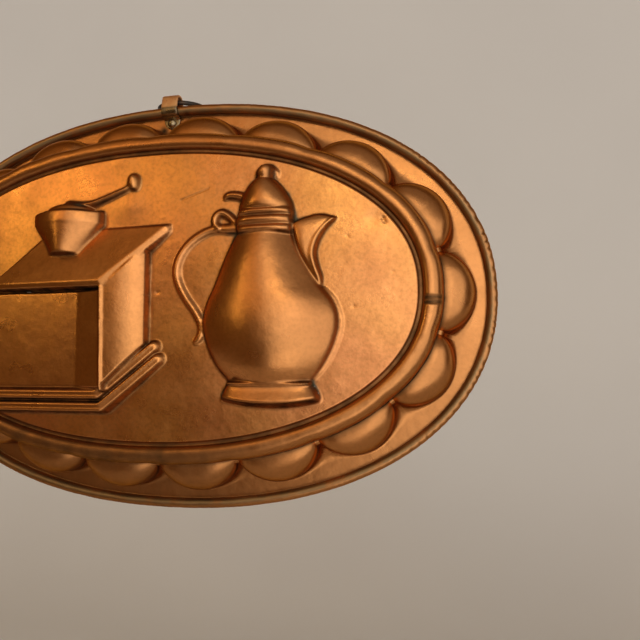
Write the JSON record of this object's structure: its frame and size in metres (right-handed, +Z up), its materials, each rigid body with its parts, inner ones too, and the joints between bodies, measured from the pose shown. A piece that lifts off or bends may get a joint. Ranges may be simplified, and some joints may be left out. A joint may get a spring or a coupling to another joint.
{
  "type": "copper mould",
  "caption": "Oval pressed copper mould with a coffee pot and a coffee mill in relief, lobes round the field, a wired rim and a loose hanging ring.",
  "frame": {"origin": "middle of the strap's eye at the top of the rim, about which the ring turns", "axes": "hung on a wall: +X to the right along the oval's length, +Z up, and the raised side faces -Y"},
  "size_m": [0.2676, 0.0532, 0.1807],
  "materials": {
    "copper": "worn, warm, lightly tarnished copper sheet",
    "iron": "dark drawn iron wire",
    "brass": "dull brass strip"
  },
  "bodies": {
    "mould": {"mould_shell": "copper", "rim_wire": "iron", "hanger_strap": "brass", "hanger_rivet": "brass"},
    "ring": {"hanging_ring": "iron"}
  },
  "joints": [
    {"name": "ring_swing", "type": "hinge", "parent": "mould", "child": "ring", "pos_m": [0, 0, 0], "axis": [1, 0, 0], "range_deg": [-63, 203]}
  ]
}
